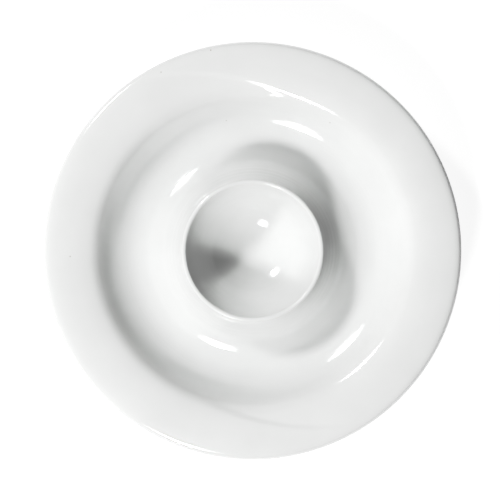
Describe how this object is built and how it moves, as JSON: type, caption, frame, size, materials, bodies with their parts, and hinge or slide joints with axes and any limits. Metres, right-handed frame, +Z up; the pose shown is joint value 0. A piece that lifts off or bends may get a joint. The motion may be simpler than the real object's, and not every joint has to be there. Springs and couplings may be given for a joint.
{
  "type": "egg holder tray",
  "caption": "Round white porcelain tray with a raised hemispherical egg cup in its well, a swirled crowned rim and a foot ring.",
  "frame": {"origin": "centre of the foot ring's resting plane", "axes": "+Z up along the axis of the egg cup; +X and +Y lie in the resting plane"},
  "size_m": [0.135, 0.135, 0.0224],
  "materials": {
    "glazed_porcelain": "clear gloss glaze over white porcelain",
    "bare_foot": "unglazed porcelain, ground smooth and matt"
  },
  "bodies": {
    "root": {"egg_cup": "glazed_porcelain", "tray": "glazed_porcelain", "foot_ring": "bare_foot"}
  },
  "joints": []
}
